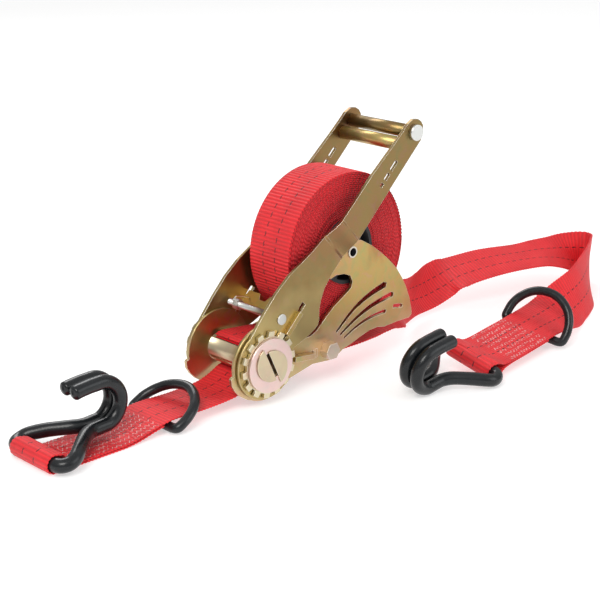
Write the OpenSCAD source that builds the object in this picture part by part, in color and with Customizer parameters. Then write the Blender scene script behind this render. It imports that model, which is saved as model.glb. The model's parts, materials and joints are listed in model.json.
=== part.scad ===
// Two-inch ratchet strap with a built-in webbing spool, a double-J hook and a D-ring on each end.
// Millimetres, +Z up. It stands on the plane z = 0, and the plan centre of its bounding box is x = y = 0.
// The strap runs along X, the buckle's two sides face -Y and +Y, and the spindle axis is parallel to Y.

/* [Node] */

// sub-part to build, or all

/* [Webbing] */

// width of the webbing
web_w = 50; // [45:1:55]

// thickness of the webbing
web_t = 1.8; // [1.4:0.1:2.4]

// outer radius of the stored roll
roll_r = 69.5; // [50:0.5:70]

/* [Buckle] */

// height of the spindle axis above the floor
hub_h = 36.5; // [36.5:0.5:40]

// half of the clear width between the two frame plates
frame_in = 28; // [27.5:0.5:30]

// thickness of a frame plate
frame_t = 3; // [2.5:0.5:4]

// thickness of a handle plate
handle_t = 2.8; // [2:0.1:3]

// distance from the spindle axis to the grip tube
handle_len = 242; // [230:1:250]

// angle of the handle above the frame, as stored
handle_ang = 45.9; // [44:0.1:47]

// ratchet teeth on each wheel
teeth = 14; // [14:1:14]

// radius over the tooth tips
tip_r = 29; // [28:0.1:29.2]

// radius at the foot of the teeth
root_r = 24.6; // [24:0.1:25]

// radius of the round spindle
spindle_r = 12.5; // [12:0.1:13]

// angle of the spindle's slot above the frame
slot_ang = 115; // [110:1:120]

/* [Hooks and rings] */

// radius of the coated hook wire
hook_wire = 6; // [5:0.25:6]

// radius of the hook's bend
hook_bend = 18.5; // [17:0.5:20]

// radius of the ring's wire
ring_wire = 4.25; // [3.5:0.25:4.25]

/* [Hidden] */

// where the spindle axis stands in the part's frame
hub_x = -138.238;
hub_y = 39.204;

// layers from the middle plane outwards
frame_out = frame_in + frame_t;
handle_in = frame_out + 0.4;
handle_out = handle_in + handle_t;
gear_in = handle_out + 0.4;
gear_out = gear_in + 3;
cap_in = gear_out + 0.05;
cap_out = cap_in + 2.9;
joggle = 5.5;
grip_in = handle_in + joggle;
grip_out = handle_out + joggle;

// fits
run_gap = 0.06;
set_gap = 0.04;
lie_gap = 0.1;

// places in the buckle's own plane, from the spindle axis
spool_x = 102.5;
spool_z = 76.5;
core_r = 29.6;
axle_r = 4.4;
axle_bore = 3.6;
bolt_x = 72.5;
bolt_z = -5.3;
bolt_r = 5;
sleeve_r = 6.5;

// pawls
pawl_t = 4.4;
pawl_nose = 29.4;
lock_ang = handle_ang - 2 * 360 / teeth;

// hook bars and ring bars
lead_yaw = 1.5;
lead_bar = [-209, 0, web_t + hook_wire + 0.3 - hub_h];
lead_ring_at = [-94.8, 1, ring_wire + 0.05 - hub_h];
fixed_bar = [179, -106, -21.5];
fixed_turn = [-12.7, 14.2, 177];
fixed_ring_at = [286, -88.6, -24.2];
fixed_ring_turn = [12.5, 0, 10];
fixed_ring_lift = 60;
wrap_r = hook_wire + 0.3 + web_t / 2;

zinc = [0.78, 0.68, 0.42];
pale = [0.8, 0.72, 0.66];
steel = [0.7, 0.72, 0.74];
red = [0.8, 0.07, 0.1];
black = [0.06, 0.07, 0.08];

// ---- small helpers ----

function unit(v) = v / norm(v);

// rotation about Z, Y and X, as rotate() turns a vector
function turn_x(v, a) = [v[0], v[1] * cos(a) - v[2] * sin(a), v[1] * sin(a) + v[2] * cos(a)];
function turn_y(v, a) = [v[0] * cos(a) + v[2] * sin(a), v[1], v[2] * cos(a) - v[0] * sin(a)];
function turn_z(v, a) = [v[0] * cos(a) - v[1] * sin(a), v[0] * sin(a) + v[1] * cos(a), v[2]];
function turned(v, a) = turn_z(turn_y(turn_x(v, a[0]), a[1]), a[2]);

// a smooth curve through the points, k steps to a span
function blend(a, b, c, d, t) =
  0.5 * (2 * b + (c - a) * t + (2 * a - 5 * b + 4 * c - d) * t * t
  + (3 * b - a - 3 * c + d) * t * t * t);
function smooth(p, k) = [
  for (i = [0 : len(p) - 2])
    for (j = [0 : k - 1])
      blend(p[max(i - 1, 0)], p[i], p[i + 1], p[min(i + 2, len(p) - 1)], j / k),
  p[len(p) - 1]
];

function along(p, i) = unit(p[min(i + 1, len(p) - 1)] - p[max(i - 1, 0)]);

// a strap: each row of s is a point on its middle line and the direction across it,
// which is shorter where the webbing is cupped and so narrower
module ribbon(s) {
  p = [for (r = s) [r[0], r[1], r[2]]];
  w = [for (r = s) [r[3], r[4], r[5]]];
  n = len(p);
  pts = [
    for (i = [0 : n - 1])
      let (
        t = along(p, i),
        c = unit(w[i] - (w[i] * t) * t),
        u = cross(t, c),
        a = c * min(1, 1.03 * norm(w[i])) * web_w / 2,
        b = u * web_t / 2
      )
      each [p[i] + a + b, p[i] + a - b, p[i] - a - b, p[i] - a + b]
  ];
  sides = [
    for (i = [0 : n - 2])
      for (j = [0 : 3])
        each [
          [4 * i + j, 4 * i + (j + 1) % 4, 4 * i + 4 + (j + 1) % 4],
          [4 * i + j, 4 * i + 4 + (j + 1) % 4, 4 * i + 4 + j]
        ]
  ];
  e = 4 * (n - 1);
  polyhedron(pts, concat([[3, 2, 1, 0]], sides, [[e, e + 1, e + 2, e + 3]]), convexity = 8);
}

// the same direction carried along a path without twisting
function carry(p, i, v) =
  let (t = along(p, i), m = unit(v - (v * t) * t))
  i == len(p) - 1 ? [m] : concat([m], carry(p, i + 1, m));

// a round wire along a path, m flats around it
module wire(p, r, m, first) {
  n = len(p);
  f = carry(p, 0, first);
  pts = [
    for (i = [0 : n - 1])
      let (t = along(p, i), b = cross(t, f[i]))
      for (k = [0 : m - 1])
        p[i] + r * (cos(360 * k / m) * f[i] + sin(360 * k / m) * b)
  ];
  sides = [
    for (i = [0 : n - 2])
      for (k = [0 : m - 1])
        each [
          [m * i + k, m * i + m + (k + 1) % m, m * i + (k + 1) % m],
          [m * i + k, m * i + m + k, m * i + m + (k + 1) % m]
        ]
  ];
  caps = [[for (k = [0 : m - 1]) k], [for (k = [m - 1 : -1 : 0]) m * (n - 1) + k]];
  polyhedron(pts, concat(caps, sides), convexity = 8);
}

// a closed flat ring of wire along a path in the XY plane
module ring_wire_loop(p, r, m) {
  n = len(p);
  pts = [
    for (i = [0 : n - 1])
      let (t = unit(p[(i + 1) % n] - p[(i + n - 1) % n]), b = [t[1], -t[0], 0])
      for (k = [0 : m - 1])
        p[i] + r * (cos(360 * k / m) * b + sin(360 * k / m) * [0, 0, 1])
  ];
  sides = [
    for (i = [0 : n - 1])
      for (k = [0 : m - 1])
        let (j = (i + 1) % n, q = (k + 1) % m)
        each [
          [m * i + k, m * j + q, m * i + q],
          [m * i + k, m * j + k, m * j + q]
        ]
  ];
  polyhedron(pts, sides, convexity = 8);
}

// a flat shape drawn in X and Z, from y0 to y1
module slab(y0, y1) {
  translate([0, y1, 0]) rotate([90, 0, 0]) linear_extrude(y1 - y0) children();
}

// a round bar along Y
module bar_y(r, y0, y1) {
  translate([0, y1, 0]) rotate([90, 0, 0]) cylinder(h = y1 - y0, r = r, $fn = 72);
}

// moves from the spindle axis to the part's frame
module placed() {
  translate([hub_x, hub_y, hub_h]) children();
}

// the handle's own frame, X along the handle
module in_handle() {
  placed() rotate([0, -handle_ang, 0]) children();
}

// the locking pawl's own frame, X away from the spindle
module in_lock() {
  placed() rotate([0, -lock_ang, 0]) children();
}

// ---- frame ----

module fan_slot(a, b, bulge, w0, w1) {
  d = b - a;
  m = [-d[1], d[0]] / norm(d);
  up = [for (i = [0 : 8]) a + d * i / 8 + m * (bulge * sin(22.5 * i) + w0 + (w1 - w0) * i / 8)];
  dn = [for (i = [8 : -1 : 0]) a + d * i / 8 + m * (bulge * sin(22.5 * i) - w0 - (w1 - w0) * i / 8)];
  polygon(concat(up, [b + d / norm(d) * w1 * 0.9], dn));
}

module frame_outline() {
  polygon([
    [0, 33], [14, 29], [27, 19], [33, 7], [45, 10.5], [54, 11.3], [61, 14.7], [72, 24.5], [81.5, 32],
    [93, 38.7], [101.6, 44.1], [103.4, 49.5], [100.4, 55.6], [92.6, 58.7], [84, 59.4], [77, 57.5],
    [72, 59], [71, 64], [76, 72], [85, 81], [95, 86.5], [106, 87.4], [113.6, 85.1], [125.6, 78.5],
    [137.8, 69.6], [148.2, 60.9], [158.8, 50.6], [166.4, 40], [172, 29.8], [176.6, 18.9],
    [179.5, 8], [180, 2.5], [177, 0], [162.4, -0.3], [149.9, -1], [143.7, -1.4], [135.4, 0.3],
    [125.3, -0.5], [114.3, -3.5], [103.4, -7.3], [92.5, -10.2], [84, -15], [76, -16.5], [64, -15.6],
    [55.8, -15], [22.9, -22.4], [0, -30]
  ]);
}

// the raised stop on the round end
module frame_lobe() {
  polygon([
    [0, 0], [-34, -4.5], [-36, -6], [-35.3, -12], [-31.7, -17.8], [-26.5, -23.2], [-19, -28], [-9, -31.7]
  ]);
}

module frame_plate(y0, y1) {
  placed() difference() {
    union() {
      slab(y0, y1) frame_outline();
      slab(y0, y1) frame_lobe();
      bar_y(33, y0, y1);
    }
    bar_y(spindle_r + run_gap, y0 - 1, y1 + 1);
    translate([bolt_x, 0, bolt_z]) bar_y(bolt_r + set_gap, y0 - 1, y1 + 1);
    translate([spool_x, 0, spool_z]) bar_y(axle_r + set_gap, y0 - 1, y1 + 1);
    rotate([0, -lock_ang, 0]) translate([33.2, y0 - 1, -2.35]) cube([23.8, y1 - y0 + 2, 4.7]);
    rotate([0, -lock_ang, 0]) translate([59, y0 - 1, -4]) cube([2.5, y1 - y0 + 2, 8]);
    slab(y0 - 1, y1 + 1) fan_slot([84, 7.4], [144, 38.2], 5.2, 1.1, 3.1);
    slab(y0 - 1, y1 + 1) fan_slot([88.8, 3.9], [153.5, 27], 4.4, 1, 2.8);
    slab(y0 - 1, y1 + 1) fan_slot([93.4, -0.1], [145, 13], 3.6, 0.8, 2);
    slab(y0 - 1, y1 + 1) fan_slot([155, 15.1], [166, 13.4], 0.5, 1.9, 2);
  }
}

module frame_plate_near() { color(zinc) frame_plate(-frame_out, -frame_in); }
module frame_plate_far() { color(zinc) frame_plate(frame_in, frame_out); }

module frame_bolt() {
  color(pale) placed() translate([bolt_x, 0, bolt_z]) union() {
    bar_y(bolt_r, -frame_out - 1, frame_out + 8.6);
    slab(-frame_out - 8.6, -frame_out - 0.02) circle(r = 8, $fn = 6);
  }
}

module frame_nut() {
  color(pale) placed() translate([bolt_x, 0, bolt_z]) difference() {
    slab(frame_out + 0.02, frame_out + 7) circle(r = 8, $fn = 6);
    bar_y(bolt_r + set_gap, frame_out - 1, frame_out + 9);
  }
}

module bolt_sleeve() {
  color(steel) placed() translate([bolt_x, 0, bolt_z]) difference() {
    bar_y(sleeve_r, -frame_in + 0.05, frame_in - 0.05);
    bar_y(bolt_r + set_gap, -frame_in - 1, frame_in + 1);
  }
}

// a bar that the locking pawl's springs push against, tabbed through both plates
module lock_spring_plate() {
  color(zinc) in_lock() union() {
    translate([59, -frame_in + 0.05, -6.5]) cube([2.5, 2 * frame_in - 0.1, 13]);
    translate([59.05, -frame_out, -3.95]) cube([2.4, 2 * frame_out, 7.9]);
  }
}

module spool_axle() {
  color(steel) placed() translate([spool_x, 0, spool_z]) difference() {
    union() {
      bar_y(axle_r, -frame_out - 0.5, frame_out + 0.5);
      bar_y(5.1, -frame_out - 1.1, -frame_out - 0.02);
      bar_y(5.1, frame_out + 0.02, frame_out + 1.1);
    }
    bar_y(axle_bore, -frame_out - 3, frame_out + 3);
  }
}

// ---- straps that stay with the frame ----

// half a turn round a bar: over it from above, round the far side and back below
function half_wrap(c, r, ex, ez, w, k) = [
  for (i = [0 : k])
    let (a = 90 + 180 * i / k, q = c + r * (cos(a) * ex + sin(a) * ez))
    concat(q, w)
];

function flat_row(x, z) = [x, 0, z, 0, 1, 0];

low = web_t / 2 - hub_h;
high = low + web_t + lie_gap;

module lead_strap() {
  top = smooth([
    flat_row(6.3, -13), flat_row(3.4, -14.2), flat_row(-0.5, -14.9), flat_row(-5, -16.4),
    flat_row(-12, -19.8), flat_row(-20, -22.8), flat_row(-32, -25.2), flat_row(-60, -26.2),
    flat_row(-94, -25.6), flat_row(-112, -28.2), flat_row(-128, -31.8),
    flat_row(-139, high + 0.3), flat_row(-147, high)
  ], 4);
  rise = smooth([
    flat_row(-184, high), flat_row(-190, high + 0.4), flat_row(-195, high + 2.2),
    flat_row(-201, lead_bar[2] + 5.2)
  ], 3);
  flat = [flat_row(-201, low), flat_row(-190, low), flat_row(-152, low)];
  back = smooth([
    flat_row(-147, low), flat_row(-139, low + 0.3), flat_row(-128, -33.9),
    flat_row(-112, -30.3), flat_row(-103.5, -28.8)
  ], 3);
  color(red) placed() rotate([0, 0, lead_yaw])
    ribbon(concat(top, rise, half_wrap(lead_bar, wrap_r, [1, 0, 0], [0, 0, 1], [0, 1, 0], 10), flat, back));
}

module web_tail() {
  color(red) placed() ribbon(smooth([
    flat_row(-6.3, 13), flat_row(-3.4, 14.2), flat_row(0.5, 14.7), flat_row(5, 14.6),
    flat_row(14, 13.8), flat_row(33, 12.2), flat_row(54, 10.3), flat_row(75, 8.4),
    flat_row(90, 6.8), flat_row(102.5, 5.6), flat_row(112, 6.2)
  ], 4));
}

// the short strap: round the bolt sleeve, turned on edge behind the buckle, folded back to its hook
module fixed_strap() {
  wr = sleeve_r + 0.45 + web_t / 2;
  bend = [for (i = [0 : 10]) let (a = 90 + 180 * i / 10)
    flat_row(bolt_x + wr * cos(a), bolt_z + wr * sin(a))];
  start = smooth([
    flat_row(118, -11.1), flat_row(98, -11.1), flat_row(89, -8.8), flat_row(82, -4),
    flat_row(77.4, 1.4)
  ], 3);
  run = smooth([
    flat_row(80, -13.1), flat_row(93, -13.1), flat_row(118, -13.05), [140, 1, -11.5, 0, 1, 0.05],
    [156, 1.5, -7, 0.11, 0.95, 0.22], [171.6, 3, -3, 0.24, 0.84, 0.45], [190.6, 5, -1, 0.39, 0.6, 0.63],
    [209.3, 10, -3, 0.38, 0.32, 0.72], [227.7, 21, -7, 0.27, 0.2, 0.78], [253, 35, -10.8, 0.15, 0.2, 0.76],
    [281.6, 44, -12.9, 0.02, 0.4, 0.7], [304.5, 46, -9.5, 0, 0.64, 0.56], [322, 41.5, -3.5, 0.16, 0.9, 0.33],
    [363, 30, 2, 0.22, 0.93, 0.28], [409, 19, 2, 0.2, 0.94, 0.24], [433, 14.5, 0.5, 0.2, 0.9, 0.36],
    [455, 11, -3, 0.21, 0.8, 0.55], [474, 9, -7, 0.24, 0.5, 0.83], [488, 4, -9.5, 0.14, 0.12, 0.98],
    [487, -3.5, -9.6, 0.12, 0, 0.99], [474, -13, -8.6, 0.08, 0, 0.99], [437, -40, -6.5, 0, 0.14, 0.99],
    [400, -64, -6.5, -0.18, 0.32, 0.93], [378, -74, -8.5, -0.2, 0.38, 0.9],
    [358, -79, -11.5, -0.2, 0.5, 0.83], [339, -82, -15, -0.2, 0.74, 0.63],
    [319, -84.5, -17, -0.2, 0.9, 0.36], [286, -89, -17.9, -0.18, 0.955, 0.22],
    [240, -96.6, -19.4, -0.12, 0.965, 0.22], [212, -101, -20.3, -0.07, 0.97, 0.215],
    [199, -103, -19.6, -0.03, 0.975, 0.212], [188.5, -105.64, -16.1, -0.006, 0.977, 0.213],
    [181.2, -107.21, -14.29, -0.004, 0.977, 0.213]
  ], 3);
  w = -turned([0, 1, 0], fixed_turn);
  ex = unit(cross(w, [0, 0, 1]));
  ez = cross(ex, w);
  back = smooth([
    [188, -104.3, -28.1, -0.015, 0.977, 0.21], [198, -102.6, -24.2, -0.03, 0.975, 0.212],
    [212, -100.6, -22.25, -0.07, 0.97, 0.215], [240, -96.2, -21.35, -0.12, 0.965, 0.22],
    [274, -90.5, -20.25, -0.17, 0.955, 0.22]
  ], 3);
  color(red) placed()
    ribbon(concat(start, bend, run, half_wrap(fixed_bar, wrap_r, ex, ez, w, 10), back));
}

// ---- handle ----

module handle_outline() {
  polygon([
    [-8, 28], [8, 30.6], [30, 32.5], [51, 33], [69, 31], [85, 26.8], [100, 23], [127, 17.8],
    [160, 16.5], [184, 15.8], [214, 13.2], [232, 12], [242, 11.8], [249, 9.5], [253, 4.5], [254, 0],
    [253, -4.5], [249, -9.5], [242, -11.8], [190, -11], [135, -10.6], [97, -10], [83, -11.5],
    [73, -15.5], [67, -19], [60, -25.6], [56, -27.6], [51.5, -27.2], [45, -25.4], [38, -22.8],
    [26, -17], [10, -20]
  ]);
}

// the plate's section from above: flat at the hub, stepped outwards under the grip
module handle_section() {
  step = [for (i = [0 : 10]) [113 + 2.4 * i, joggle * (1 - cos(18 * i)) / 2]];
  linear_extrude(90, center = true) polygon(concat(
    [[-40, handle_in]], [for (p = step) [p[0], handle_in + p[1]]], [[260, grip_in], [260, grip_out]],
    [for (i = [10 : -1 : 0]) [step[i][0], handle_out + step[i][1]]], [[-40, handle_out]]
  ));
}

module handle_body() {
  difference() {
    intersection() {
      union() {
        slab(handle_in - 1, grip_out + 1) handle_outline();
        bar_y(31, handle_in - 1, grip_out + 1);
      }
      handle_section();
    }
    bar_y(spindle_r + run_gap, handle_in - 1, handle_out + 1);
    translate([24.4, handle_in - 1, -2.35]) cube([36.6, handle_t + 2, 4.7]);
    translate([37, 0, 13]) bar_y(3 + set_gap, handle_in - 1, handle_out + 1);
    translate([handle_len, 0, 0]) bar_y(4 + set_gap, grip_in - 1, grip_out + 1);
    for (p = [[183, 4], [190.5, 7], [201, 10]])
      translate([p[0], grip_in - 1, -1.8]) cube([p[1], handle_t + 2, 3.6]);
  }
}

module handle_plate_far() { color(zinc) in_handle() handle_body(); }
module handle_plate_near() { color(zinc) in_handle() mirror([0, 1, 0]) handle_body(); }

module grip_tube() {
  color(zinc) in_handle() translate([handle_len, 0, 0]) difference() {
    bar_y(5.9, -grip_in + 0.05, grip_in - 0.05);
    bar_y(4.3, -grip_in - 1, grip_in + 1);
  }
}

module grip_bolt() {
  color(steel) in_handle() translate([handle_len, 0, 0]) union() {
    bar_y(4, -grip_out - 0.5, grip_out + 4.1);
    bar_y(7, -grip_out - 4.1, -grip_out - 0.02);
  }
}

module grip_nut() {
  color(steel) in_handle() translate([handle_len, 0, 0]) difference() {
    slab(grip_out + 0.02, grip_out + 3.6) circle(r = 7, $fn = 6);
    bar_y(4 + set_gap, grip_out - 1, grip_out + 6);
  }
}

module cross_tube() {
  color(zinc) in_handle() translate([227.5, 0, 1]) difference() {
    bar_y(6, -grip_in + 0.05, grip_in - 0.05);
    bar_y(4.6, -grip_in - 1, grip_in + 1);
  }
}

module spring_rod() {
  color(steel) in_handle() translate([37, 0, 13]) union() {
    bar_y(3, -handle_out - 0.1, handle_out + 0.1);
    bar_y(4.6, handle_out + 0.02, handle_out + 1.4);
    bar_y(4.6, -handle_out - 1.4, -handle_out - 0.02);
  }
}

// the driving pawl: a flat plate whose ears pass through both handle plates to the wheels
module drive_pawl() {
  color(zinc) in_handle() translate([0, 0, -pawl_t / 2]) linear_extrude(pawl_t) polygon([
    [42, -30.8], [42, -31.2], [pawl_nose, -31.2], [pawl_nose, -gear_out - 0.6],
    [52, -gear_out - 0.6], [52, -30.8],
    [56, -30.8], [56, -16], [50.5, -13], [50.5, -6], [56, -3], [56, 3], [50.5, 6], [50.5, 13],
    [56, 16], [56, 30.8],
    [52, 30.8], [52, gear_out + 0.6], [pawl_nose, gear_out + 0.6], [pawl_nose, 31.2], [42, 31.2],
    [42, 30.8]
  ]);
}

// two torsion springs on the rod, each with a leg on the pawl
module drive_pawl_springs() {
  for (s = [-1, 1]) color(steel) in_handle() {
    coil = [for (i = [0 : 36]) let (a = 360 * 4 * i / 36 + 90)
      [37 + 4.3 * cos(a), s * (18 + 7 * i / 36), 13 + 4.3 * sin(a)]];
    leg = [[36, s * 25, 17.6], [42, s * 25, 16.4], [46.5, s * 25, 9], [49, s * 25, 3.2]];
    wire(concat(coil, [for (i = [1 : 3]) leg[i]]), 0.7, 6, [0, 1, 0]);
  }
}

// ---- locking pawl ----

module lock_pawl() {
  g = gear_out + 0.6;
  color(zinc) in_lock() translate([0, 0, -pawl_t / 2]) linear_extrude(pawl_t) polygon([
    [40, -27.8], [38, -27.8], [38, -gear_in + 0.2], [pawl_nose, -gear_in + 0.2], [pawl_nose, -g],
    [52, -g], [52, g], [pawl_nose, g], [pawl_nose, gear_in - 0.2], [38, gear_in - 0.2], [38, 27.8],
    [40, 27.8], [40, 10], [43, 8], [43, -8], [40, -10]
  ]);
}

module lock_pawl_springs() {
  for (y = [-14, 14]) color(steel) in_lock()
    wire([for (i = [0 : 36]) let (a = 360 * 4 * i / 36)
      [52.7 + 5.6 * i / 36, y + 3 * cos(a), 3 * sin(a)]], 0.6, 6, [1, 0, 0]);
}

// ---- spindle ----

// each half's end is spread over the disc, offset along the slot, so the gap between the ends is S shaped
module half_round(side) {
  placed() rotate([0, -slot_ang, 0]) difference() {
    union() {
      bar_y(spindle_r, -cap_out - 1.3, cap_out + 1.3);
      for (y = [-cap_out - 1.5, cap_out + 0.05])
        translate([-side * 2.6, 0, side * 1.2]) bar_y(16.4, y, y + 1.45);
    }
    translate([-30, -60, side > 0 ? -1.6 : -28.4]) cube([60, 120, 30]);
    for (y = [-26.6, 26.6]) translate([0, y, 0]) cylinder(h = 40, r = 1.5, center = true, $fn = 24);
  }
}

module spindle_half_rear() { color(steel) half_round(1); }
module spindle_half_front() { color(steel) half_round(-1); }

module spindle_pins() {
  for (y = [-26.6, 26.6]) color(steel) placed() rotate([0, -slot_ang, 0])
    translate([0, y, 0]) cylinder(h = 23, r = 1.47, center = true, $fn = 24);
}

module web_in_slot() {
  color(red) placed() rotate([0, -slot_ang, 0])
    translate([-12, -web_w / 2, -web_t / 2]) cube([24, web_w, web_t]);
}

function tooth(i) = let (p = 360 / teeth, a = handle_ang + p * i) [
  root_r * [cos(a - 0.21 * p), sin(a - 0.21 * p)],
  root_r * [cos(a + 0.21 * p), sin(a + 0.21 * p)],
  tip_r * [cos(a + 0.24 * p), sin(a + 0.24 * p)],
  tip_r * [cos(a + 0.68 * p), sin(a + 0.68 * p)]
];

module gear(y0, y1) {
  placed() difference() {
    slab(y0, y1) polygon([for (i = [0 : teeth - 1]) each tooth(i)]);
    bar_y(spindle_r + set_gap, y0 - 1, y1 + 1);
  }
}

module gear_near() { color(zinc) gear(-gear_out, -gear_in); }
module gear_far() { color(zinc) gear(gear_in, gear_out); }

module cap(y0, y1) {
  placed() difference() {
    bar_y(23.4, y0, y1);
    bar_y(spindle_r + set_gap, y0 - 1, y1 + 1);
  }
}

module cap_near() { color(pale) cap(-cap_out, -cap_in); }
module cap_far() { color(pale) cap(cap_in, cap_out); }

// ---- spool ----

module spool_core() {
  color(black) placed() translate([spool_x, 0, spool_z]) difference() {
    union() {
      difference() {
        bar_y(core_r, -25.6, 25.6);
        bar_y(26.4, 2, 30);
        bar_y(26.4, -30, -2);
      }
      bar_y(8, -27.8, 27.8);
      for (a = [0 : 60 : 300]) rotate([0, a, 0]) translate([7, -24, -1.2]) cube([20, 48, 2.4]);
    }
    bar_y(axle_r + run_gap, -40, 40);
  }
}

module web_roll() {
  color(red) placed() translate([spool_x, 0, spool_z]) difference() {
    bar_y(roll_r, -web_w / 2, web_w / 2);
    bar_y(core_r + 0.05, -40, 40);
  }
}

// ---- hooks and rings ----

// one wire bent to a double J: bar in the web's loop, two arms, two bends side by side
function hook_side(s) = concat(
  smooth([
    [0, s * 8, 0], [0, s * 24.5, 0], [2.4, s * 30.4, 0.2], [8, s * 32.7, 1.2], [15, s * 30.8, 3.6],
    [26, s * 22, 6.2], [38, s * 11.6, 7.8], [46, s * 7.2, 8], [52, s * 6.3, 8]
  ], 3),
  [for (i = [1 : 12]) let (a = -90 + 15 * i)
    [58 + hook_bend * cos(a), s * 6.25, 8 + hook_bend + hook_bend * sin(a)]],
  [[48, s * 6.25, 44.6], [38, s * 6.25, 43.6], [31, s * 6.25, 42.4]]
);

module hook() {
  far = hook_side(1);
  near = hook_side(-1);
  wire(concat([for (i = [len(near) - 1 : -1 : 0]) near[i]], far), hook_wire, 12, [0, 1, 0]);
}

module lead_hook() {
  color(black) placed() rotate([0, 0, lead_yaw]) translate(lead_bar) hook();
}

module fixed_hook() {
  color(black) placed() translate(fixed_bar) rotate(fixed_turn) hook();
}

// D-shaped ring: its straight bar lies along Y at the origin, its bow reaches along X
module d_ring() {
  h = web_w / 2 + 2.1 + ring_wire;
  q = concat(
    [[0, -h + 6, 0], [0, 0, 0], [0, h - 6, 0], [0.9, h - 2.2, 0], [3, h - 0.3, 0]],
    [for (i = [0 : 12]) let (a = 90 - 15 * i) [8 + h * cos(a), h * sin(a), 0]],
    [[3, -h + 0.3, 0], [0.9, -h + 2.2, 0]]
  );
  ring_wire_loop(q, ring_wire, 10);
}

module lead_ring() {
  color(black) placed() rotate([0, 0, lead_yaw]) translate(lead_ring_at) rotate([0, -30, -2.5]) d_ring();
}

module fixed_ring() {
  color(black) placed() translate(fixed_ring_at) rotate(fixed_ring_turn)
    rotate([0, -fixed_ring_lift, 0]) d_ring();
}

frame_plate_near();
frame_plate_far();
frame_bolt();
frame_nut();
bolt_sleeve();
lock_spring_plate();
spool_axle();
lead_strap();
web_tail();
fixed_strap();
handle_plate_near();
handle_plate_far();
grip_tube();
grip_bolt();
grip_nut();
cross_tube();
spring_rod();
drive_pawl();
drive_pawl_springs();
lock_pawl();
lock_pawl_springs();
spindle_half_rear();
spindle_half_front();
gear_near();
gear_far();
cap_near();
cap_far();
web_in_slot();
spindle_pins();
spool_core();
web_roll();
lead_hook();
fixed_hook();
lead_ring();
fixed_ring();
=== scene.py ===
import json
import math

import bpy
import numpy as np
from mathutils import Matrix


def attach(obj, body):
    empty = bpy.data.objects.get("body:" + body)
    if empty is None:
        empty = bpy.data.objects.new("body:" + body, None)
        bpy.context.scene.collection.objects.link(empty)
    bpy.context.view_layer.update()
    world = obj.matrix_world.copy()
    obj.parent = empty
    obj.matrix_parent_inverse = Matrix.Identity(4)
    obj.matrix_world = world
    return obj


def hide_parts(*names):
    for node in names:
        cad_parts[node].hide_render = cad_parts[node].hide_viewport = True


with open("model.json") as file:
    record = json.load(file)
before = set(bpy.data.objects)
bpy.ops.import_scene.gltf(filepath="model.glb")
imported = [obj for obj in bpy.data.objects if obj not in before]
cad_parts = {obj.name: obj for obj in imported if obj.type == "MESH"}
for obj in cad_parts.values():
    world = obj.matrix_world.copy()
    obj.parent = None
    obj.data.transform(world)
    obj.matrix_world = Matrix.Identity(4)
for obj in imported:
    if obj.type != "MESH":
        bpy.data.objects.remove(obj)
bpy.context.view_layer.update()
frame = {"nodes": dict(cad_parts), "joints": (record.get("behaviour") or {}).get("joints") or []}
joints = {j["name"]: j for j in frame["joints"]}
hub = np.array(joints["handle_hinge"]["pos_m"])
spool = np.array(joints["spool_spin"]["pos_m"])
scene = bpy.context.scene
rng = np.random.default_rng(7)
print("frame loaded", len(frame["nodes"]), "nodes")

ribPitch = 0.0033
webWidth = 0.05
webThick = 0.0018


def unit(v):
    return v / np.maximum(np.linalg.norm(v, axis=-1, keepdims=True), 1e-12)


def turn(axis, degrees):
    c, s = math.cos(math.radians(degrees)), math.sin(math.radians(degrees))
    return {
        "x": np.array([[1, 0, 0], [0, c, -s], [0, s, c]]),
        "y": np.array([[c, 0, s], [0, 1, 0], [-s, 0, c]]),
        "z": np.array([[c, -s, 0], [s, c, 0], [0, 0, 1]]),
    }[axis]


# Catmull-Rom curve: each span is a cubic that leaves a point along the line between its two neighbours
def smooth(points, k):
    p = np.asarray(points, float)
    i = np.repeat(np.arange(len(p) - 1), k)
    t = np.tile(np.arange(k) / k, len(p) - 1)[:, None]
    a, b = p[np.maximum(i - 1, 0)], p[i]
    c, d = p[i + 1], p[np.minimum(i + 2, len(p) - 1)]
    q = 0.5 * (2 * b + (c - a) * t + (2 * a - 5 * b + 4 * c - d) * t**2 + (3 * b - a - 3 * c + d) * t**3)
    return np.vstack([q, p[-1:]])


# rows at even steps of arc length along the first three columns
def evenly(rows, step):
    gap = np.linalg.norm(np.diff(rows[:, :3], axis=0), axis=1)
    keep = np.concatenate([[True], gap > 1e-7])
    rows = rows[keep]
    s = np.concatenate([[0], np.cumsum(np.linalg.norm(np.diff(rows[:, :3], axis=0), axis=1))])
    at = np.linspace(0, s[-1], max(3, int(round(s[-1] / step)) + 1))
    return at, np.stack([np.interp(at, s, rows[:, j]) for j in range(rows.shape[1])], axis=1)


def makeMesh(name, verts, faces, uv=None, values=None, material=None):
    mesh = bpy.data.meshes.new(name)
    mesh.from_pydata(verts.tolist(), [], faces)
    mesh.update()
    if uv is not None:
        loops = np.zeros(len(mesh.loops), np.int32)
        mesh.loops.foreach_get("vertex_index", loops)
        layer = mesh.uv_layers.new(name="UVMap")
        layer.data.foreach_set("uv", uv[loops].astype(np.float32).ravel())
    for key, value in (values or {}).items():
        mesh.attributes.new(key, "FLOAT", "POINT").data.foreach_set("value", value.astype(np.float32))
    mesh.polygons.foreach_set("use_smooth", np.ones(len(mesh.polygons), bool))
    obj = bpy.data.objects.new(name, mesh)
    scene.collection.objects.link(obj)
    if material:
        mesh.materials.append(material)
    return obj


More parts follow.
